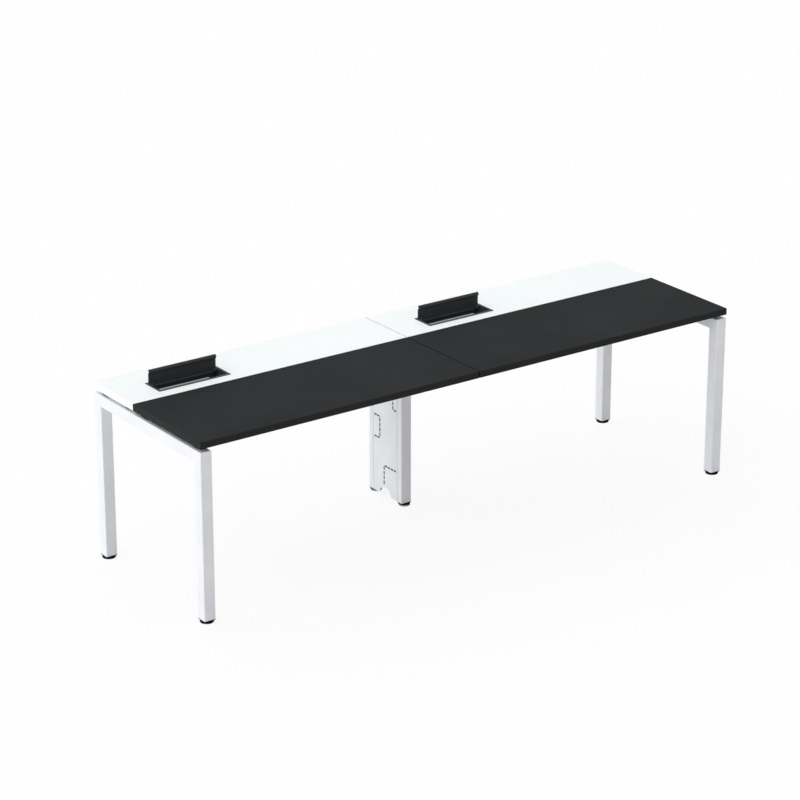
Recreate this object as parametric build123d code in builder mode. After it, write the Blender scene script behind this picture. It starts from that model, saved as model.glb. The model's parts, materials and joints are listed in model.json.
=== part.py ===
import os
from math import hypot

from build123d import *

# Benching desk for two, in millimetres: X runs along the desk, Y to its back, Z up.
# The origin is on the floor, under the middle of the worktop.

# Worktop boards, a dark front pair and a pale rear pair
desk_length = 2600.0
top_height = 750.0
front_board_depth = 490.0
rear_board_depth = 299.0
board_thickness = 28.0
board_gap = 1.0
seam_gap = 3.5
edge_band = 2.0
edge_band_arris = 0.8

# Square tube of the end frames and of the cross beam, and the rail tube between them
tube_side = 50.0
tube_wall = 2.0
tube_corner = 4.0
rail_depth = 25.0
rail_height = 40.0
front_rail_inset = 200.0
rear_rail_inset = 60.0
cross_beam_front_inset = 165.0
cross_beam_rear_inset = 10.0

# Spigots on the beams, over which the rails slide
spigot_plate = 4.0
spigot_ear = 8.0
spigot_length = 60.0
spigot_fit = 0.3

# Spacer blocks that float the boards above the frame
spacer_height = 15.0
spacer_width = 20.0
spacer_depth = 40.0
spacer_edge_inset = 60.0
seam_spacer_offset = 13.0
rail_spacer_count = 2

# Plates that tie each rear board to the front board
tie_length = 80.0
tie_front_reach = 25.0
tie_thickness = 3.0
tie_clearance = 3.0
tie_count = 2

# End caps and levelling feet
cap_flange = 3.0
cap_plug_height = 20.0
cap_fit = 0.2
leg_foot_radius = 27.5
riser_foot_radius = 24.5
foot_disc_height = 9.7
foot_seat_gap = 0.3
stem_radius = 5.0
stem_length = 60.0
stem_fit = 0.1

# Cable riser leg under the seam
riser_width = 50.0
riser_depth = 235.0
riser_rear_inset = 60.0
riser_plate = 5.0
post_depth = 31.0
cover_sheet = 1.5
cover_bend = 4.0
cover_return = 10.0
cover_fit = 0.3
arch_height = 33.0
arch_top_width = 44.0
arch_foot_width = 92.0
arch_shoulder = 13.0
arch_flare = 8.0
arch_overrun = 5.0

# Perforated knock-outs in the riser's covers
knockout_dash = 15.0
knockout_gap = 7.0
knockout_slit = 5.5
knockout_corner = 8.0
knockout_seam_gap = 6.0
side_knockout_width = 42.0
side_knockout_height = 97.0
middle_knockout_level = 247.0
upper_knockout_level = 402.0
upper_knockout_width = 25.0
floor_knockout_height = 132.0
floor_knockout_width = 88.0
floor_knockout_rise = 45.0

# Flip-up cable ports in the rear boards
port_length = 330.0
port_depth = 110.0
port_side_inset = 152.0
port_setback = 53.0
port_rim = 9.0
port_flange = 2.5
port_flange_arris = 0.8
port_skirt_wall = 2.5
port_skirt_depth = 45.0
port_cutout_gap = 1.5
cable_exit = 83.0
wiper_width = 13.0
wiper_thickness = 2.0
wiper_leg = 15.0
wiper_drop = 0.6
wiper_end_gap = 0.5

# Flip lid: a trough around the hinge line with a knuckle at each end, a plate, and a finger
# channel along the free edge
lid_wall = 3.0
lid_barrel = 8.5
lid_wall_gap = 1.0
lid_end_gap = 1.0
lid_front_gap = 4.5
channel_depth = 7.0
channel_width = 15.0
channel_bend = 2.0
pin_radius = 2.0
pin_fit = 0.06
pin_press = 0.02
pin_inset = 0.3
pin_seat = 12.0
pin_cover = 3.0

# Cable trays under the ports
tray_sheet = 1.5
tray_height = 75.0
tray_clearance = 10.0
tray_flange = 20.0
tray_end_gap = 25.0

# Levels and places that follow from the sizes above
half_length = desk_length / 2
desk_depth = front_board_depth + board_gap + rear_board_depth
half_depth = desk_depth / 2
board_length = (desk_length - seam_gap) / 2
board_bottom = top_height - board_thickness
frame_top = board_bottom - spacer_height
frame_bottom = frame_top - tube_side
leg_bottom = foot_disc_height + foot_seat_gap + cap_flange
board_joint = front_board_depth - half_depth
rear_board_front = board_joint + board_gap
end_beam_x = half_length - tube_side / 2
leg_y = half_depth - tube_side / 2
front_rail_y = front_rail_inset - half_depth
rear_rail_y = half_depth - rear_rail_inset
rail_level = frame_top - rail_height / 2
cross_beam_front = cross_beam_front_inset - half_depth
cross_beam_rear = half_depth - cross_beam_rear_inset
bay_length = half_length - tube_side - tube_side / 2
bay_middle = tube_side / 2 + bay_length / 2
rail_length = bay_length - 2 * spigot_plate
riser_rear = half_depth - riser_rear_inset
riser_front = riser_rear - riser_depth
riser_middle = (riser_front + riser_rear) / 2
post_top = frame_bottom - riser_plate
front_post_y = riser_front + post_depth / 2
rear_post_y = riser_rear - post_depth / 2
cover_front = riser_front + post_depth + cover_fit
cover_rear = riser_rear - post_depth - cover_fit
port_front = rear_board_front + port_setback
port_middle_y = port_front + port_depth / 2
port_mouth_length = port_length - 2 * port_rim
port_mouth_depth = port_depth - 2 * port_rim
skirt_length = port_mouth_length + 2 * port_skirt_wall
skirt_depth = port_mouth_depth + 2 * port_skirt_wall
port_top = top_height + port_flange
mouth_front = port_front + port_rim
mouth_rear = mouth_front + port_mouth_depth
pivot_y = mouth_rear - lid_wall_gap - lid_barrel
pivot_z = port_top - lid_barrel
lid_reach = pivot_y - mouth_front - wiper_width - lid_front_gap
lid_length = port_mouth_length - 2 * lid_end_gap
tray_front = port_middle_y - skirt_depth / 2 - tray_clearance
tray_rear = port_middle_y + skirt_depth / 2 + tray_clearance
tray_length = bay_length - 2 * tray_end_gap
tie_rear = tray_front - tray_sheet - tray_flange - tie_clearance

end_spacer_rows = (
    spacer_edge_inset - half_depth,
    board_joint - spacer_edge_inset,
    rear_board_front + spacer_edge_inset,
    half_depth - spacer_edge_inset,
)
seam_spacer_rows = (
    cross_beam_front + spacer_edge_inset,
    board_joint - spacer_edge_inset,
    rear_board_front + spacer_edge_inset,
    cross_beam_rear - spacer_edge_inset,
)
module_starts = {"left": -half_length, "right": seam_gap / 2}
sides = {"left": -1, "right": 1}

os.makedirs("parts", exist_ok=True)


def save(piece, name):
    piece.part.label = name
    export_step(piece.part, f"parts/{name}.step")


def mirrored(piece):
    with BuildPart() as other_side:
        mirror(piece.part, about=Plane.YZ)
    return other_side


def tube_section(width, depth):
    RectangleRounded(width, depth, tube_corner)
    bore_width = width - 2 * tube_wall
    bore_depth = depth - 2 * tube_wall
    Rectangle(bore_width, bore_depth, mode=Mode.SUBTRACT)


def along_x(x, y, z):
    return Plane((x, y, z), x_dir=(0, 1, 0), z_dir=(1, 0, 0))


def along_y(x, y, z):
    return Plane((x, y, z), x_dir=(1, 0, 0), z_dir=(0, -1, 0))


# End frames: two legs and a beam of square tube, mitred at the upper corners
front_mitre = Plane((0, -half_depth, frame_top), z_dir=(0, 1, 1))
rear_mitre = Plane((0, half_depth, frame_top), z_dir=(0, -1, 1))


def end_leg(y, mitre):
    with BuildPart() as leg:
        with BuildSketch(Plane((-end_beam_x, y, leg_bottom))):
            tube_section(tube_side, tube_side)
        extrude(amount=frame_top - leg_bottom)
        split(bisect_by=mitre, keep=Keep.BOTTOM)
    return leg


with BuildPart() as end_beam:
    with BuildSketch(along_y(-end_beam_x, half_depth, frame_top - tube_side / 2)):
        tube_section(tube_side, tube_side)
    extrude(amount=desk_depth)
    split(bisect_by=front_mitre, keep=Keep.TOP)
    split(bisect_by=rear_mitre, keep=Keep.TOP)

front_leg = end_leg(-leg_y, front_mitre)
rear_leg = end_leg(leg_y, rear_mitre)
save(front_leg, "left_front_leg")
save(rear_leg, "left_rear_leg")
save(end_beam, "left_end_beam")
save(mirrored(front_leg), "right_front_leg")
save(mirrored(rear_leg), "right_rear_leg")
save(mirrored(end_beam), "right_end_beam")

# Cross beam under the seam, with a cap in each open end
with BuildPart() as cross_beam:
    with BuildSketch(along_y(0, cross_beam_rear, frame_top - tube_side / 2)):
        tube_section(tube_side, tube_side)
    extrude(amount=cross_beam_rear - cross_beam_front)
save(cross_beam, "cross_beam")

with BuildPart() as cross_beam_caps:
    for mouth, outwards in ((cross_beam_front, 1), (cross_beam_rear, -1)):
        with BuildSketch(along_y(0, mouth, frame_top - tube_side / 2)) as flange:
            Rectangle(tube_side, tube_side)
            chamfer(flange.vertices(), length=tube_corner / 2)
        extrude(amount=outwards * cap_flange)
        with BuildSketch(along_y(0, mouth, frame_top - tube_side / 2)):
            plug_side = tube_side - 2 * tube_wall - 2 * cap_fit
            Rectangle(plug_side, plug_side)
        extrude(amount=-outwards * cap_plug_height)
save(cross_beam_caps, "cross_beam_caps")


# Rails along the desk, sliding over spigots on the end beams and the cross beam
def rail(y):
    with BuildPart() as tube:
        with BuildSketch(along_x(-bay_middle - rail_length / 2, y, rail_level)):
            tube_section(rail_depth, rail_height)
        extrude(amount=rail_length)
    return tube


def rail_spigots(y):
    bore_depth = rail_depth - 2 * tube_wall - 2 * spigot_fit
    bore_height = rail_height - 2 * tube_wall - 2 * spigot_fit
    with BuildPart() as spigots:
        for end in (-1, 1):
            beam_face = -bay_middle + end * bay_length / 2
            with BuildSketch(along_x(beam_face, y, rail_level)):
                Rectangle(rail_depth + 2 * spigot_ear, rail_height)
            extrude(amount=-end * spigot_plate)
            with BuildSketch(along_x(beam_face - end * spigot_plate, y, rail_level)):
                Rectangle(bore_depth, bore_height)
            extrude(amount=-end * spigot_length)
    return spigots


for row, rail_y in (("front", front_rail_y), ("rear", rear_rail_y)):
    row_rail = rail(rail_y)
    row_spigots = rail_spigots(rail_y)
    save(row_rail, f"left_{row}_rail")
    save(row_spigots, f"left_{row}_rail_spigots")
    save(mirrored(row_rail), f"right_{row}_rail")
    save(mirrored(row_spigots), f"right_{row}_rail_spigots")


# Caps in the lower tube ends, bored for the stems of the levelling feet
def leg_cap(x, y, width, depth):
    inset = 2 * tube_wall + 2 * cap_fit
    with BuildPart() as cap:
        with BuildSketch(Plane((x, y, leg_bottom))) as flange:
            Rectangle(width, depth)
            chamfer(flange.vertices(), length=tube_corner / 2)
        extrude(amount=-cap_flange)
        with BuildSketch(Plane((x, y, leg_bottom))):
            Rectangle(width - inset, depth - inset)
        extrude(amount=cap_plug_height)
        with BuildSketch(Plane((x, y, leg_bottom - cap_flange))):
            Circle(stem_radius + stem_fit)
        extrude(amount=cap_flange + cap_plug_height, mode=Mode.SUBTRACT)
    return cap


def levelling_foot(x, y, radius):
    stem_top = foot_disc_height + stem_length
    with BuildPart() as foot:
        with BuildSketch(along_y(x, y, 0)):
            with BuildLine():
                Polyline(
                    (0, 0),
                    (radius, 0),
                    (radius, foot_disc_height),
                    (stem_radius, foot_disc_height),
                    (stem_radius, stem_top),
                    (0, stem_top),
                    close=True,
                )
            make_face()
        revolve(axis=Axis((x, y, 0), (0, 0, 1)))
    return foot


tube_ends = {
    "left_front_leg": (-end_beam_x, -leg_y, tube_side, tube_side, leg_foot_radius),
    "left_rear_leg": (-end_beam_x, leg_y, tube_side, tube_side, leg_foot_radius),
    "right_front_leg": (end_beam_x, -leg_y, tube_side, tube_side, leg_foot_radius),
    "right_rear_leg": (end_beam_x, leg_y, tube_side, tube_side, leg_foot_radius),
    "riser_front_post": (0, front_post_y, riser_width, post_depth, riser_foot_radius),
    "riser_rear_post": (0, rear_post_y, riser_width, post_depth, riser_foot_radius),
}
for tube_name, (end_x, end_y, end_width, end_depth, disc_radius) in tube_ends.items():
    save(leg_cap(end_x, end_y, end_width, end_depth), f"{tube_name}_cap")
    save(levelling_foot(end_x, end_y, disc_radius), f"{tube_name}_foot")


# Cable riser: two posts under a top plate, with a perforated cover on each side
def riser_post(y):
    with BuildPart() as post:
        with BuildSketch(Plane((0, y, leg_bottom))):
            tube_section(riser_width, post_depth)
        extrude(amount=post_top - leg_bottom)
    return post


save(riser_post(front_post_y), "riser_front_post")
save(riser_post(rear_post_y), "riser_rear_post")

with BuildPart() as riser_top_plate:
    with BuildSketch(Plane((0, riser_middle, post_top))):
        Rectangle(riser_width, riser_depth)
    extrude(amount=riser_plate)
save(riser_top_plate, "riser_top_plate")

rear_fold = cover_rear - knockout_seam_gap
front_fold = cover_front + knockout_seam_gap
middle_knockout = (
    (rear_fold, leg_bottom + middle_knockout_level + side_knockout_height),
    (rear_fold - side_knockout_width, leg_bottom + middle_knockout_level + side_knockout_height),
    (rear_fold - side_knockout_width, leg_bottom + middle_knockout_level),
    (rear_fold, leg_bottom + middle_knockout_level),
)
upper_knockout = (
    (front_fold, leg_bottom + upper_knockout_level),
    (front_fold + upper_knockout_width, leg_bottom + upper_knockout_level),
    (front_fold + upper_knockout_width, leg_bottom + upper_knockout_level + side_knockout_height),
    (front_fold, leg_bottom + upper_knockout_level + side_knockout_height),
)
floor_knockout = (
    (front_fold, leg_bottom + floor_knockout_height),
    (front_fold + floor_knockout_width, leg_bottom + floor_knockout_height),
    (front_fold + floor_knockout_width, leg_bottom + floor_knockout_rise),
)


def dash_row(corners):
    with BuildLine() as outline:
        FilletPolyline(*corners, radius=knockout_corner)
    path = outline.wire()
    count = round((path.length + knockout_gap) / (knockout_dash + knockout_gap))
    half_gap = knockout_gap / path.length / 2
    return [path.trim(i / count + half_gap, (i + 1) / count - half_gap) for i in range(count)]


with BuildPart() as riser_cover:
    with BuildSketch(Plane.XY.offset(leg_bottom)):
        with BuildLine():
            FilletPolyline(
                (cover_return - riser_width / 2, cover_front),
                (-riser_width / 2, cover_front),
                (-riser_width / 2, cover_rear),
                (cover_return - riser_width / 2, cover_rear),
                radius=cover_bend,
            )
            offset(amount=cover_sheet, side=Side.RIGHT)
        make_face()
    extrude(amount=post_top - leg_bottom)
    with BuildSketch(Plane.YZ.offset(-riser_width / 2)):
        with BuildLine():
            arch_sill = arch_foot_width / 2 + arch_flare + arch_overrun
            FilletPolyline(
                (riser_middle - arch_sill, leg_bottom),
                (riser_middle - arch_foot_width / 2, leg_bottom),
                (riser_middle - arch_top_width / 2, leg_bottom + arch_height),
                (riser_middle + arch_top_width / 2, leg_bottom + arch_height),
                (riser_middle + arch_foot_width / 2, leg_bottom),
                (riser_middle + arch_sill, leg_bottom),
                radius=[arch_flare, arch_shoulder, arch_shoulder, arch_flare],
            )
            Polyline(
                (riser_middle + arch_sill, leg_bottom),
                (riser_middle + arch_sill, leg_bottom - arch_overrun),
                (riser_middle - arch_sill, leg_bottom - arch_overrun),
                (riser_middle - arch_sill, leg_bottom),
            )
        make_face()
    extrude(amount=cover_return, mode=Mode.SUBTRACT)
    with BuildSketch(Plane.YZ.offset(-riser_width / 2)):
        for corners in (middle_knockout, upper_knockout, floor_knockout):
            for dash in dash_row(corners):
                trace(dash, line_width=knockout_slit)
    extrude(amount=cover_sheet, mode=Mode.SUBTRACT)
save(riser_cover, "riser_left_cover")
save(mirrored(riser_cover), "riser_right_cover")


# Worktop boards: a core, cut out for a cable port at the rear, and a band around its edges
def board(x_start, y_start, depth, cutout_x=None):
    with BuildPart() as core:
        with BuildSketch(Plane((x_start + board_length / 2, y_start + depth / 2, board_bottom))):
            Rectangle(board_length - 2 * edge_band, depth - 2 * edge_band)
        extrude(amount=board_thickness)
        if cutout_x is not None:
            with BuildSketch(Plane((cutout_x, port_middle_y, board_bottom))):
                Rectangle(skirt_length + 2 * port_cutout_gap, skirt_depth + 2 * port_cutout_gap)
            extrude(amount=board_thickness, mode=Mode.SUBTRACT)
    return core


def board_edge_band(x_start, y_start, depth):
    with BuildPart() as band:
        with BuildSketch(Plane((x_start + board_length / 2, y_start + depth / 2, board_bottom))):
            Rectangle(board_length, depth)
            Rectangle(board_length - 2 * edge_band, depth - 2 * edge_band, mode=Mode.SUBTRACT)
        extrude(amount=board_thickness)
        outer_rim = band.faces().sort_by(Axis.Z)[-1].outer_wire().edges()
        chamfer(outer_rim, length=edge_band_arris)
    return band


port_places = {}
for module, module_start in module_starts.items():
    port_places[module] = module_start + port_side_inset + port_length / 2
    save(board(module_start, -half_depth, front_board_depth), f"{module}_front_board")
    save(
        board(module_start, rear_board_front, rear_board_depth, port_places[module]),
        f"{module}_rear_board",
    )
    save(
        board_edge_band(module_start, -half_depth, front_board_depth),
        f"{module}_front_edge_band",
    )
    save(
        board_edge_band(module_start, rear_board_front, rear_board_depth),
        f"{module}_rear_edge_band",
    )

# Spacer blocks between the frame and the boards
rail_spacer_pitch = rail_length / rail_spacer_count

with BuildPart() as top_spacers:
    with BuildSketch(Plane.XY.offset(frame_top)):
        for side in sides.values():
            with Locations(*[(side * end_beam_x, y) for y in end_spacer_rows]):
                Rectangle(spacer_width, spacer_depth)
            with Locations(*[(side * seam_spacer_offset, y) for y in seam_spacer_rows]):
                Rectangle(spacer_width, spacer_depth)
            for rail_y in (front_rail_y, rear_rail_y):
                with Locations((side * bay_middle, rail_y)):
                    with GridLocations(rail_spacer_pitch, 0, rail_spacer_count, 1):
                        Rectangle(spacer_depth, spacer_width)
    extrude(amount=spacer_height)
save(top_spacers, "top_spacers")

with BuildPart() as tie_plates:
    tie_front = board_joint - tie_front_reach
    with BuildSketch(Plane((0, (tie_front + tie_rear) / 2, board_bottom))):
        for side in sides.values():
            with Locations((side * bay_middle, 0)):
                with GridLocations(bay_length / tie_count, 0, tie_count, 1):
                    Rectangle(tie_length, tie_rear - tie_front)
    extrude(amount=-tie_thickness)
save(tie_plates, "tie_plates")

# Folded cable trays, hung by their flanges under the rear boards
with BuildPart() as cable_tray:
    with BuildSketch(along_x(-bay_middle - tray_length / 2, 0, 0)):
        with BuildLine():
            tray_bottom = board_bottom - tray_height
            Polyline(
                (tray_front - tray_sheet - tray_flange, board_bottom),
                (tray_front, board_bottom),
                (tray_front, tray_bottom + tray_sheet),
                (tray_rear, tray_bottom + tray_sheet),
                (tray_rear, board_bottom),
                (tray_rear + tray_sheet + tray_flange, board_bottom),
            )
            offset(amount=tray_sheet, kind=Kind.INTERSECTION, side=Side.RIGHT)
        make_face()
    extrude(amount=tray_length)
save(cable_tray, "left_cable_tray")
save(mirrored(cable_tray), "right_cable_tray")


# Flip-up cable ports: a flanged frame, a lid that turns on two pins, and a flexible wiper
# along the front of the mouth that stops short of one end, to leave a way out for cables
def port_frame(x):
    with BuildPart() as frame:
        with BuildSketch(Plane((x, port_middle_y, top_height))):
            Rectangle(port_length, port_depth)
        extrude(amount=port_flange)
        outer_rim = frame.faces().sort_by(Axis.Z)[-1].outer_wire().edges()
        chamfer(outer_rim, length=port_flange_arris)
        with BuildSketch(Plane((x, port_middle_y, top_height))):
            Rectangle(skirt_length, skirt_depth)
        extrude(amount=-port_skirt_depth)
        with BuildSketch(Plane((x, port_middle_y, port_top))):
            Rectangle(port_mouth_length, port_mouth_depth)
        extrude(amount=-port_flange - port_skirt_depth, mode=Mode.SUBTRACT)
        with BuildSketch(along_x(x - skirt_length / 2, pivot_y, pivot_z)):
            Circle(pin_radius + pin_fit)
        extrude(amount=skirt_length, mode=Mode.SUBTRACT)
    return frame


def port_wiper(x):
    wiper_start = x - port_mouth_length / 2 + wiper_end_gap
    wiper_length = port_mouth_length - wiper_end_gap - cable_exit
    wiper_top = port_top - wiper_drop
    with BuildPart() as wiper:
        with BuildSketch(along_x(wiper_start, 0, 0)):
            with BuildLine():
                Polyline(
                    (mouth_front, wiper_top),
                    (mouth_front + wiper_width, wiper_top),
                    (mouth_front + wiper_width, wiper_top - wiper_thickness),
                    (mouth_front + wiper_thickness, wiper_top - wiper_thickness),
                    (mouth_front + wiper_thickness, wiper_top - wiper_leg),
                    (mouth_front, wiper_top - wiper_leg),
                    close=True,
                )
            make_face()
        extrude(amount=wiper_length)
    return wiper


def port_lid(x):
    back = pivot_y + lid_barrel
    lip_rise = lid_wall * channel_depth / hypot(channel_depth, channel_width / 2)
    lip = pivot_z + lid_reach - lip_rise
    with BuildPart() as lid:
        with BuildSketch(along_x(x - lid_length / 2, 0, 0)):
            with BuildLine():
                CenterArc((pivot_y, pivot_z), radius=lid_barrel, start_angle=-90, arc_size=90)
                FilletPolyline(
                    (back, pivot_z),
                    (back, lip - channel_width),
                    (back - channel_depth, lip - channel_width / 2),
                    (back, lip),
                    radius=channel_bend,
                )
                offset(amount=lid_wall, side=Side.LEFT)
            make_face()
        extrude(amount=lid_length)
        for end in (-1, 1):
            with BuildSketch(along_x(x + end * lid_length / 2, pivot_y, pivot_z)):
                Circle(lid_barrel)
            extrude(amount=-end * (pin_seat + pin_cover))
            with BuildSketch(along_x(x + end * lid_length / 2, pivot_y, pivot_z)):
                Circle(pin_radius + pin_press)
            extrude(amount=-end * (pin_seat + pin_cover), mode=Mode.SUBTRACT)
    return lid


def lid_pins(x):
    pin_length = pin_seat + lid_end_gap + port_skirt_wall - pin_inset
    pin_start = lid_length / 2 - pin_seat
    with BuildPart() as pins:
        with BuildSketch(along_x(x - pin_start, pivot_y, pivot_z)):
            Circle(pin_radius)
        extrude(amount=-pin_length)
        with BuildSketch(along_x(x + pin_start, pivot_y, pivot_z)):
            Circle(pin_radius)
        extrude(amount=pin_length)
    return pins


for module, port_x in port_places.items():
    save(port_frame(port_x), f"{module}_port_frame")
    save(port_wiper(port_x), f"{module}_port_wiper")
    save(port_lid(port_x), f"{module}_port_lid")
    save(lid_pins(port_x), f"{module}_lid_pins")
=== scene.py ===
import json
from math import cos, pi, radians, sin

import bmesh
import bpy
from mathutils import Matrix, Vector


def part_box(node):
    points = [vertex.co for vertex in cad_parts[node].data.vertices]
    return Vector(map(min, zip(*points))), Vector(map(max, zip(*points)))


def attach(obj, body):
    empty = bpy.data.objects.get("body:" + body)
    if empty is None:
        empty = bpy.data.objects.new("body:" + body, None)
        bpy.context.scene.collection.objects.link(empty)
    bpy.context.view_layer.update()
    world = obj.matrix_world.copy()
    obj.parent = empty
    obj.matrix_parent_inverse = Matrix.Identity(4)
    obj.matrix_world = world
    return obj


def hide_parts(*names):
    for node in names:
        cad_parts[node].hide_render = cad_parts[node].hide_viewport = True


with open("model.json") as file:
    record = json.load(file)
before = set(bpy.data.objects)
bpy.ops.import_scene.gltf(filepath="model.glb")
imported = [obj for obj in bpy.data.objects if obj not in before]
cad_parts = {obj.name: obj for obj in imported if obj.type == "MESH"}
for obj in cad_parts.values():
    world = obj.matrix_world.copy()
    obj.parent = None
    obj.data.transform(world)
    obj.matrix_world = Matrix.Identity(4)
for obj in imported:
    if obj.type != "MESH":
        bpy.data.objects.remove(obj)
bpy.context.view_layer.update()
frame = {"nodes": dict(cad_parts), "record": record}
nodes = frame["nodes"]
scene = bpy.context.scene
mm = 0.001  # the frame is in metres, and sizes here are written in millimetres
weld = 0.01 * mm  # points nearer than this are one point


# an sRGB hex value as the linear colour that a socket takes
def linear(hexColour):
    channels = [int(hexColour[i:i + 2], 16) / 255 for i in (1, 3, 5)]
    return [c / 12.92 if c <= 0.04045 else ((c + 0.055) / 1.055) ** 2.4 for c in channels] + [1.0]


def clearTree(owner):
    owner.use_nodes = True
    owner.node_tree.nodes.clear()
    return owner.node_tree


# an output socket is linked, a list of (place, hex) fills a colour ramp, and the rest is set
def addNode(tree, kind, settings):
    node = tree.nodes.new("ShaderNode" + kind)
    for name, value in settings.items():
        if isinstance(value, bpy.types.NodeSocket):
            tree.links.new(value, node.inputs[name])
        elif name == "ramp":
            for stop, (place, hexColour) in zip(node.color_ramp.elements, value):
                stop.position = place
                stop.color = linear(hexColour)
        elif isinstance(name, int) or name in node.inputs:
            node.inputs[name].default_value = value
        else:
            setattr(node, name, value)
    return node


# 1 inside a box, which gives the middle and the reach on each axis, and 0 outside
def boxMask(tree, spot, box):
    mask = 1
    for axis, (middle, reach) in box.items():
        within = addNode(tree, "Math", {
            "operation": "COMPARE",
            0: spot.outputs[axis],
            1: middle,
            2: reach,
        })
        both = addNode(tree, "Math", {"operation": "MULTIPLY", 0: within.outputs["Value"], 1: mask})
        mask = both.outputs["Value"]
    return mask


# a patch has its own colour inside its box and, if it has edge shade, that colour also goes on as
# painted shade along sharp edges inside the edge shade's own box
def addPatch(tree, spot, colour, patch):
    mask = boxMask(tree, spot, patch["box"])
    # painted shade along sharp edges, full where the eased normal has turned by the given degrees
    if "edgeShade" in patch:
        edgeShade = patch["edgeShade"]
        side = addNode(tree, "NewGeometry", {})
        eased = addNode(tree, "Bevel", {"samples": 8, "Radius": edgeShade["reach"] * mm})
        turned = addNode(tree, "VectorMath", {
            "operation": "DOT_PRODUCT",
            0: eased.outputs["Normal"],
            1: side.outputs["Normal"],
        })
        nearEdge = addNode(tree, "MapRange", {
            "Value": turned.outputs["Value"],
            "From Min": 1,
            "From Max": cos(radians(edgeShade["turn"])),
        })
        shadedEdges = addNode(tree, "Math", {
            "operation": "MULTIPLY",
            0: nearEdge.outputs["Result"],
            1: boxMask(tree, spot, edgeShade["box"]),
        })
        either = addNode(tree, "Math", {
            "operation": "MAXIMUM",
            0: mask,
            1: shadedEdges.outputs["Value"],
        })
        mask = either.outputs["Value"]
    patched = addNode(tree, "MixRGB", {
        "Fac": mask,
        "Color1": colour,
        "Color2": linear(patch["colour"]),
    })
    return patched.outputs["Color"]


noiseLow, noiseHigh = 0.3, 0.7  # nearly all of a noise texture lies between these


# two tones drift into each other over "cloud" mm, and a fine grain lies on top as bump and gloss
def makeFinish(name, look):
    material = bpy.data.materials.new(name)
    tree = clearTree(material)
    place = addNode(tree, "TexCoord", {})
    along = addNode(tree, "Mapping", {
        "Vector": place.outputs["Object"],
        "Scale": look.get("stretch", (1, 1, 1)),
    })
    cloud = addNode(tree, "TexNoise", {
        "Vector": place.outputs["Object"],
        "Scale": 1 / (look["cloud"] * mm),
        "Detail": 3,
        "Roughness": 0.6,
    })
    grain = addNode(tree, "TexNoise", {
        "Vector": along.outputs["Vector"],
        "Scale": 1 / (look["grain"] * mm),
        "Detail": 2,
        "Roughness": 0.55,
    })
    both = addNode(tree, "Math", {
        "operation": "MULTIPLY_ADD",
        0: grain.outputs["Fac"],
        1: look["speckle"],
        2: cloud.outputs["Fac"],
    })
    spread = addNode(tree, "MapRange", {
        "Value": both.outputs["Value"],
        "From Min": noiseLow * (1 + look["speckle"]),
        "From Max": noiseHigh * (1 + look["speckle"]),
    })
    tones = addNode(tree, "ValToRGB", {
        "Fac": spread.outputs["Result"],
        "ramp": [(0, look["tones"][0]), (1, look["tones"][1])],
    })
    colour = tones.outputs["Color"]
    if "patch" in look:
        spot = addNode(tree, "SeparateXYZ", {"Vector": place.outputs["Object"]})
        colour = addPatch(tree, spot, colour, look["patch"])
    gloss = addNode(tree, "MapRange", {
        "Value": grain.outputs["Fac"],
        "From Min": noiseLow,
        "From Max": noiseHigh,
        "To Min": look["roughness"][0],
        "To Max": look["roughness"][1],
    })
    relief = addNode(tree, "Bump", {
        "Height": grain.outputs["Fac"],
        "Strength": 1,
        "Distance": look["height"] * mm,
    })
    shader = addNode(tree, "BsdfPrincipled", {
        "Base Color": colour,
        "Roughness": gloss.outputs["Result"],
        "Normal": relief.outputs["Normal"],
        "Metallic": look.get("metallic", 0),
        "Specular IOR Level": look.get("specular", 0.5),
    })
    addNode(tree, "OutputMaterial", {"Surface": shader.outputs["BSDF"]})
    return material


def coat(material, *names):
    for name in names:
        for slot in nodes[name].material_slots:
            slot.material = material


finishes = {}  # by the record's material slots

# Polyester powder coat baked on steel tube: an even satin white with a faint orange peel.
# Real peel is 2 to 3 mm across, drawn twice as coarse to show.
powderCoat = {
    "tones": ("#DDDFE3", "#E8EAED"),
    "cloud": 140,
    "grain": 5,
    "speckle": 0.4,
    "height": 0.06,
    "roughness": (0.38, 0.5),
    "specular": 0.35,
}
finishes["white_powder_coat"] = makeFinish("powderCoatWhite", powderCoat)

# The riser's covers are white on the show side. Painted shade darkens their inside and the cut
# edges, and more painted shade lies round the slits, so the slits read as black.
cover = {
    "skin": 0.1,  # how deep the white goes into the sheet
    "fold": 6,  # the bends stay white this far in from the cover's edges
    "arch": 14,  # and so does the foot, up to this far from the lower edge
    "shadedEdges": (38, 525),  # from below the lowest slit to above the highest
    "shadeReach": 2.7,  # the painted shade fades out this far from a slit
    "shadeTurn": 18.2,  # and is full where the eased edge has turned by so many degrees
    # the colour of the painted shade
    "paintedShade": "#141516",
}
coverLow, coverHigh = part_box("riser_left_cover")
coverSide = ((coverLow.y + coverHigh.y) / 2, (coverHigh.y - coverLow.y) / 2 - cover["fold"] * mm)
shadedLow, shadedHigh = [coverLow.z + level * mm for level in cover["shadedEdges"]]
# white coat with painted shade on the covers' insides and round their slits
coatWithPaintedShade = makeFinish("powderCoatPaintedShade", powderCoat | {"patch": {
    "colour": cover["paintedShade"],
    "box": {
        "X": (0, -coverLow.x - cover["skin"] * mm),
        "Y": coverSide,
        "Z": (coverHigh.z, coverHigh.z - coverLow.z - cover["arch"] * mm),
    },
    "edgeShade": {
        "reach": cover["shadeReach"],
        "turn": cover["shadeTurn"],
        "box": {"Y": coverSide, "Z": ((shadedLow + shadedHigh) / 2, (shadedHigh - shadedLow) / 2)},
    },
}})

# Melamine paper pressed on particle board with a pearl plate: deep grey, dull, finely pitted.
# The pits are under 1 mm, drawn at 6 mm to show.
melamine = {"cloud": 420, "grain": 6}
finishes["dark_laminate"] = makeFinish("melamineCharcoal", melamine | {
    "tones": ("#27292A", "#303233"),
    "speckle": 0.5,
    "height": 0.06,
    "roughness": (0.55, 0.72),
    "specular": 0.01,
})

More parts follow.
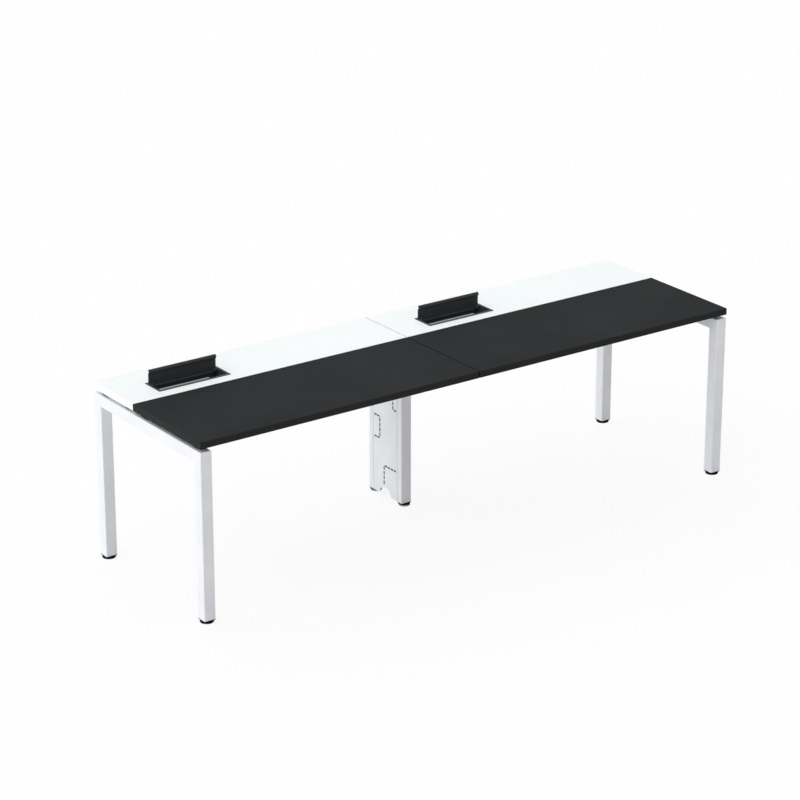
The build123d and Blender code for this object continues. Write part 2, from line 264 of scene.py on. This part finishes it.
# The same pressed melamine in white: clean and even, with a soft sheen.
finishes["white_laminate"] = makeFinish("melamineWhite", melamine | {
    "tones": ("#F2F7F7", "#F8FCFC"),
    "speckle": 0.4,
    "height": 0.05,
    "roughness": (0.45, 0.58),
    "specular": 0.2,
})

# ABS strip, extruded and hot glued to the board edges: fine lines run along it, and painted shade
# darkens the ends that meet at the seam, so the joint reads as a line. The die lines are under 0.3
# mm, drawn at 3 mm to show, and the painted shade is drawn over the strip's whole thickness.
edgeBand = {
    "cloud": 300,
    "grain": 3,
    "stretch": (0.02, 0.02, 1),
    "speckle": 0.3,
    "height": 0.02,
}
# painted shade at the seam: how far it reaches along each strip, in mm, and its colour on either
# band
seam = {"strip": 2, "darkSeamShade": "#1A1B1B", "whiteSeamShade": "#E1E4E4"}
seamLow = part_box("left_front_edge_band")[1].x
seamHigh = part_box("right_front_edge_band")[0].x
seamShadeBox = {"X": ((seamLow + seamHigh) / 2, (seamHigh - seamLow) / 2 + seam["strip"] * mm)}
finishes["dark_edge_band"] = makeFinish("absEdgeCharcoal", edgeBand | {
    "tones": ("#282929", "#2B2C2C"),
    "roughness": (0.42, 0.55),
    "specular": 0.02,
    "patch": {"colour": seam["darkSeamShade"], "box": seamShadeBox},
})
finishes["white_edge_band"] = makeFinish("absEdgeWhite", edgeBand | {
    "tones": ("#EDF1F1", "#F3F6F6"),
    "roughness": (0.4, 0.52),
    "specular": 0.25,
    "patch": {"colour": seam["whiteSeamShade"], "box": seamShadeBox},
})

# Aluminium, extruded, etched and anodised black: the dyed oxide hides the metal, so it reads as
# a satin charcoal with die lines along the lid.
# The lines are about 0.5 mm apart, drawn at 4 mm to show.
finishes["black_anodised"] = makeFinish("anodisedBlackExtruded", {
    "tones": ("#35373A", "#3D3F42"),
    "cloud": 80,
    "grain": 4,
    "stretch": (0.02, 1, 1),
    "speckle": 0.6,
    "height": 0.02,
    "roughness": (0.4, 0.52),
    "specular": 0.1,
})

# The port frame is cast, bead blasted and anodised: the same black with no direction in it.
# The blasted pits are about 0.1 mm, drawn at 3 mm to show.
anodisedBlasted = makeFinish("anodisedBlackBlasted", {
    "tones": ("#303235", "#383A3D"),
    "cloud": 60,
    "grain": 3,
    "speckle": 0.5,
    "height": 0.03,
    "roughness": (0.48, 0.6),
    "specular": 0.25,
})

# EPDM rubber, extruded: mid grey and dull, with a dusty bloom in patches.
# Its streaks are about 1 mm wide, drawn at 4 mm to show.
finishes["grey_rubber"] = makeFinish("epdmGrey", {
    "tones": ("#909396", "#9DA0A3"),
    "cloud": 25,
    "grain": 4,
    "stretch": (0.1, 1, 1),
    "speckle": 0.4,
    "height": 0.04,
    "roughness": (0.7, 0.85),
    "specular": 0.2,
})

# Glass-filled nylon, moulded in a spark-eroded tool: black with a fine matt grain.
# The grain is about 0.2 mm, drawn at 2 mm to show.
nylon = {
    "tones": ("#050506", "#0A0A0B"),
    "cloud": 30,
    "grain": 2,
    "speckle": 0.5,
    "height": 0.05,
    "roughness": (0.5, 0.68),
    "specular": 0.06,
}
finishes["black_plastic"] = makeFinish("nylonBlackMoulded", nylon)

# The same nylon with a pale grey band along the floor, up to the given height.
paleBand = {"thickness": 6.2, "colour": "#96999C"}
nylonPaleBand = makeFinish("nylonWithPaleBand", nylon | {"patch": {
    "colour": paleBand["colour"],
    "box": {"Z": (0, paleBand["thickness"] * mm)},
}})

# Steel, zinc plated and passivated: a cool bright grey that turns faintly yellow in patches.
# The plating's grain is under 0.5 mm, drawn at 2 mm to show.
finishes["steel"] = makeFinish("zincPlatedSteel", {
    "tones": ("#A9ADB1", "#BDBBB3"),
    "cloud": 18,
    "grain": 2,
    "speckle": 0.3,
    "height": 0.01,
    "roughness": (0.28, 0.42),
    "metallic": 1,
})

for part in frame["record"]["subparts"]:
    coat(finishes[part["material_slot"]], part["node"])
coat(anodisedBlasted, "left_port_frame", "right_port_frame")
coat(coatWithPaintedShade, "riser_left_cover", "riser_right_cover")


def makeMesh(name, shape):
    mesh = bpy.data.meshes.new(name)
    shape.to_mesh(mesh)
    shape.free()
    return mesh


def addObject(name, data):
    thing = bpy.data.objects.new(name, data)
    scene.collection.objects.link(thing)
    return thing


def addPiece(name, shape, material, body):
    piece = addObject(name, makeMesh(name, shape))
    piece.data.materials.append(material)
    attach(piece, body)
    return piece


# Levelling feet: a moulded glide with a rounded rim, on a threaded steel stem
foot = {
    "capGap": 0.3,  # the glide stops this far under the leg's cap
    "soleRound": 1.2,
    "rimRound": 1.8,
    "crown": 0.5,  # how far the top rises from the rim to the hub
    "hubRadius": 9,
    "roundSteps": 4,
    "around": 48,
}
stem = {
    "radius": 5,
    "pitch": 1.5,
    "depth": 0.75,
    "around": 20,
    "sunk": 4,  # moulded this deep into the glide
}


def glideProfile(shape, radius, top):
    rim = top - foot["crown"] * mm
    soleRound = foot["soleRound"] * mm
    rimRound = foot["rimRound"] * mm
    rounds = [
        ((radius - soleRound, soleRound), soleRound, -90),
        ((radius - rimRound, rim - rimRound), rimRound, 0),
    ]
    points = [(0, 0)]
    for (x, z), turn, start in rounds:
        for i in range(foot["roundSteps"] + 1):
            angle = radians(start + 90 * i / foot["roundSteps"])
            points.append((x + turn * cos(angle), z + turn * sin(angle)))
    points += [(foot["hubRadius"] * mm, top), (0, top)]
    line = [shape.verts.new((x, 0, z)) for x, z in points]
    return [shape.edges.new(pair) for pair in zip(line, line[1:])]


def makeGlide(centre, radius, top):
    shape = bmesh.new()
    bmesh.ops.spin(
        shape,
        geom=glideProfile(shape, radius, top),
        axis=(0, 0, 1),
        angle=2 * pi,
        steps=foot["around"],
        use_merge=True,
    )
    bmesh.ops.remove_doubles(shape, verts=shape.verts, dist=weld)
    bmesh.ops.recalc_face_normals(shape, faces=shape.faces)
    bmesh.ops.translate(shape, verts=shape.verts, vec=centre)
    for face in shape.faces:
        face.smooth = True
    return shape


# one tooth of the thread is spun up a helix, and both ends are cut square and closed
def makeStem(centre, bottom, top):
    shape = bmesh.new()
    pitch = stem["pitch"] * mm
    crest = stem["radius"] * mm
    root = crest - stem["depth"] * mm
    turns = round((top - bottom) / pitch) + 2  # one to spare at each end
    outline = ((root, 0), (crest, pitch / 2), (root, pitch))
    tooth = [shape.verts.new((x, 0, bottom - pitch + z)) for x, z in outline]
    edges = [shape.edges.new(pair) for pair in zip(tooth, tooth[1:])]
    bmesh.ops.spin(
        shape,
        geom=edges,
        axis=(0, 0, 1),
        dvec=(0, 0, pitch / stem["around"]),
        angle=2 * pi * turns,
        steps=turns * stem["around"],
    )
    bmesh.ops.remove_doubles(shape, verts=shape.verts, dist=weld)
    for level, outwards in ((bottom, -1), (top, 1)):
        bmesh.ops.bisect_plane(
            shape,
            geom=shape.verts[:] + shape.edges[:] + shape.faces[:],
            plane_co=(0, 0, level),
            plane_no=(0, 0, outwards),
            clear_outer=True,
        )
        openEdges = [edge for edge in shape.edges if edge.is_boundary]
        rim = [edge for edge in openEdges if all(abs(v.co.z - level) < weld for v in edge.verts)]
        bmesh.ops.edgeloop_fill(shape, edges=rim)
    bmesh.ops.recalc_face_normals(shape, faces=shape.faces)
    bmesh.ops.translate(shape, verts=shape.verts, vec=centre)
    return shape


for node in [name for name in nodes if name.endswith("_foot")]:
    low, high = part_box(node)
    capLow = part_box(node.replace("_foot", "_cap"))[0]
    middle = Vector(((low.x + high.x) / 2, (low.y + high.y) / 2, 0))
    glideTop = capLow.z - foot["capGap"] * mm
    moulded = nylonPaleBand if node.startswith("riser") else finishes["black_plastic"]
    glideShape = makeGlide(middle, (high.x - low.x) / 2, glideTop)
    glide = addPiece(node + "_glide", glideShape, moulded, node)
    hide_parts(node)
    stemShape = makeStem(middle, glideTop - stem["sunk"] * mm, high.z)
    addPiece(node + "_stem", stemShape, finishes["steel"], node)
print("levelling feet done")

# Screws: low button heads with a hex socket
screw = {
    "height": 2.2,
    "crownShare": 0.62,  # of the head's radius
    "crownRound": 0.5,
    "socketShare": 0.42,  # of the head's radius
    "socketDepth": 1.3,
    "socketDraft": 0.05,
    "around": 24,
    "roundSteps": 3,
}
down = (0, 0, -1)


def topFace(shape):
    return max(shape.faces, key=lambda face: face.calc_center_median().z)


def screwHead(radius):
    shape = bmesh.new()
    height = screw["height"] * mm
    bmesh.ops.create_cone(
        shape,
        cap_ends=True,
        segments=screw["around"],
        radius1=radius,
        radius2=radius * screw["crownShare"],
        depth=height,
    )
    bmesh.ops.translate(shape, verts=shape.verts, vec=(0, 0, height / 2))
    bmesh.ops.bevel(
        shape,
        geom=topFace(shape).edges[:],
        affect="EDGES",
        offset=screw["crownRound"] * mm,
        segments=screw["roundSteps"],
        profile=0.5,
        material=-1,
    )
    crown = topFace(shape)
    socket = radius * screw["socketShare"]
    bmesh.ops.inset_region(shape, faces=[crown], thickness=crown.verts[0].co.xy.length - socket)
    flat = radians(60)  # one flat of the hexagon, as an angle
    for vert in crown.verts:  # the round inset is drawn in to the hexagon
        turn = vert.co.xy.angle_signed(Vector((1, 0))) % flat - flat / 2
        vert.co.xy = vert.co.xy.normalized() * socket * cos(flat / 2) / cos(turn)
    bmesh.ops.inset_region(
        shape,
        faces=[crown],
        thickness=screw["socketDraft"] * mm,
        depth=-screw["socketDepth"] * mm,
    )
    return makeMesh("screwHead", shape)


def screwRow(name, radius, places):
    head = screwHead(radius * mm)
    shape = bmesh.new()
    for place, outwards in places:
        shape.from_mesh(head)
        turn = Vector(outwards).to_track_quat("Z", "Y").to_matrix().to_4x4()
        bmesh.ops.transform(
            shape,
            verts=shape.verts[-len(head.vertices):],
            matrix=Matrix.Translation(place) @ turn,
        )
    bpy.data.meshes.remove(head)
    addPiece(name, shape, finishes["steel"], "desk")


# the lowest and highest corner of each solid in a node
def solidBoxes(name):
    shape = bmesh.new()
    shape.from_mesh(nodes[name].data)
    bmesh.ops.remove_doubles(shape, verts=shape.verts, dist=weld)
    boxes = []
    reached = set()
    for start in shape.verts:
        if start in reached:
            continue
        reached.add(start)
        front = [start]
        solid = []
        while front:
            vert = front.pop()
            solid.append(vert.co.copy())
            near = {edge.other_vert(vert) for edge in vert.link_edges} - reached
            reached |= near
            front += near
        boxes.append([Vector(map(edgeOf, zip(*solid))) for edgeOf in (min, max)])
    shape.free()
    return boxes


# four under each tie plate, two in either board
tieScrew = {"radius": 4, "inset": 12}
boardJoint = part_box("left_front_board")[1].y
tiePlaces = []
for low, high in solidBoxes("tie_plates"):
    for x in (low.x + tieScrew["inset"] * mm, high.x - tieScrew["inset"] * mm):
        for y in ((low.y + boardJoint) / 2, (boardJoint + high.y) / 2):
            tiePlaces.append((Vector((x, y, low.z)), down))
screwRow("tieScrews", tieScrew["radius"], tiePlaces)

# a row along both flanges of each cable tray
trayScrew = {"radius": 4, "inset": 45, "count": 6, "flange": 20, "sheet": 1.5}
flangeMiddle = trayScrew["flange"] / 2 * mm
trayPlaces = []
for side in ("left", "right"):
    low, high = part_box(side + "_cable_tray")
    pitch = (high.x - low.x - 2 * trayScrew["inset"] * mm) / (trayScrew["count"] - 1)
    for i in range(trayScrew["count"]):
        x = low.x + trayScrew["inset"] * mm + i * pitch
        for y in (low.y + flangeMiddle, high.y - flangeMiddle):
            trayPlaces.append((Vector((x, y, high.z - trayScrew["sheet"] * mm)), down))
screwRow("trayScrews", trayScrew["radius"], trayPlaces)

# two on each ear of the rails' end plates
earScrew = {"radius": 3.4, "ear": 8, "spread": 12}
earMiddle = earScrew["ear"] / 2 * mm
earPlaces = []
for rail in ("left_front_rail", "left_rear_rail", "right_front_rail", "right_rear_rail"):
    railLow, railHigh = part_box(rail)
    for low, high in solidBoxes(rail + "_spigots"):
        outwards = 1 if low.x < railLow.x else -1
        x = railLow.x if outwards == 1 else railHigh.x
        for y in (low.y + earMiddle, high.y - earMiddle):
            for z in (-earScrew["spread"] * mm, earScrew["spread"] * mm):
                earPlaces.append((Vector((x, y, (low.z + high.z) / 2 + z)), (outwards, 0, 0)))
screwRow("earScrews", earScrew["radius"], earPlaces)
print("screws done")

# Studio: a pale floor that keeps the shadow, a white world and broad soft lamps all round.
# The white is the world's, seen through the floor, so a foot that is screwed out stays in sight.
studio = {
    "floorSize": 60,  # in metres
    "floorColour": "#FCFCFC",
    "floorShadow": 0.12,  # how much of the floor's own light and shade shows over the white world
    "worldColour": "#FFFFFF",
    "worldStrength": 0.33,
    "lamps": {  # where each comes from, its strength and how wide it is in degrees
        "leftLamp": ((-1, 0, 0.3), 1.9, 100),
        "topLamp": ((0, 0, 1), 0.76, 100),
        "backLamp": ((-0.2, 1, 0.3), 1.45, 100),
    },
}


# 1 for what the camera sees, also in a reflection or through glass
def inSight(tree):
    ray = addNode(tree, "LightPath", {})
    seen = ray.outputs["Is Camera Ray"]
    for kind in ("Is Glossy Ray", "Is Transmission Ray"):
        either = addNode(tree, "Math", {"operation": "MAXIMUM", 0: seen, 1: ray.outputs[kind]})
        seen = either.outputs["Value"]
    return seen


floorShape = bmesh.new()
bmesh.ops.create_grid(floorShape, x_segments=1, y_segments=1, size=studio["floorSize"] / 2)
floor = addObject("studioFloor", makeMesh("studioFloor", floorShape))

floorPaper = bpy.data.materials.new("floorPaper")
floorTree = clearTree(floorPaper)
floorSide = addNode(floorTree, "NewGeometry", {})
seenShare = addNode(floorTree, "Math", {
    "operation": "MULTIPLY",
    0: inSight(floorTree),
    1: 1 - studio["floorShadow"],
})
seenThrough = addNode(floorTree, "Math", {
    "operation": "MAXIMUM",
    0: seenShare.outputs["Value"],
    1: floorSide.outputs["Backfacing"],
})
paperShade = addNode(floorTree, "BsdfDiffuse", {"Color": linear(studio["floorColour"])})
paperClear = addNode(floorTree, "BsdfTransparent", {})
paper = addNode(floorTree, "MixShader", {
    0: seenThrough.outputs["Value"],
    1: paperShade.outputs["BSDF"],
    2: paperClear.outputs["BSDF"],
})
addNode(floorTree, "OutputMaterial", {"Surface": paper.outputs["Shader"]})
floor.data.materials.append(floorPaper)

world = bpy.data.worlds.new("studioWorld")
scene.world = world
skyTree = clearTree(world)
skyLight, skyWhite = [
    addNode(skyTree, "Background", {"Color": linear(studio["worldColour"]), "Strength": strength})
    for strength in (studio["worldStrength"], 1)
]
skyMix = addNode(skyTree, "MixShader", {
    0: inSight(skyTree),
    1: skyLight.outputs["Background"],
    2: skyWhite.outputs["Background"],
})
addNode(skyTree, "OutputWorld", {"Surface": skyMix.outputs["Shader"]})

for name, (comesFrom, strength, width) in studio["lamps"].items():
    light = bpy.data.lights.new(name, "SUN")
    light.energy = strength
    light.angle = radians(width)
    lamp = addObject(name, light)
    lamp.rotation_euler = Vector(comesFrom).to_track_quat("Z", "Y").to_euler()
print("studio done")

# Camera: a long lens from the front left, a little above the tops, in mm and degrees
view = {
    "aim": (-104.1, 0, 527.8),
    "distance": 12029,
    "azimuth": -35.493,
    "elevation": 21.169,
    "lens": 132.95,
    "sensor": 36,
}
azimuth = radians(view["azimuth"])
elevation = radians(view["elevation"])
backwards = Vector((sin(azimuth) * cos(elevation), -cos(azimuth) * cos(elevation), sin(elevation)))
lens = bpy.data.cameras.new("photoCamera")
lens.lens = view["lens"]
lens.sensor_width = view["sensor"]
camera = addObject("photoCamera", lens)
camera.location = (Vector(view["aim"]) + backwards * view["distance"]) * mm
camera.rotation_euler = backwards.to_track_quat("Z", "Y").to_euler()
scene.camera = camera
scene.view_settings.view_transform = "Standard"
print("camera done")
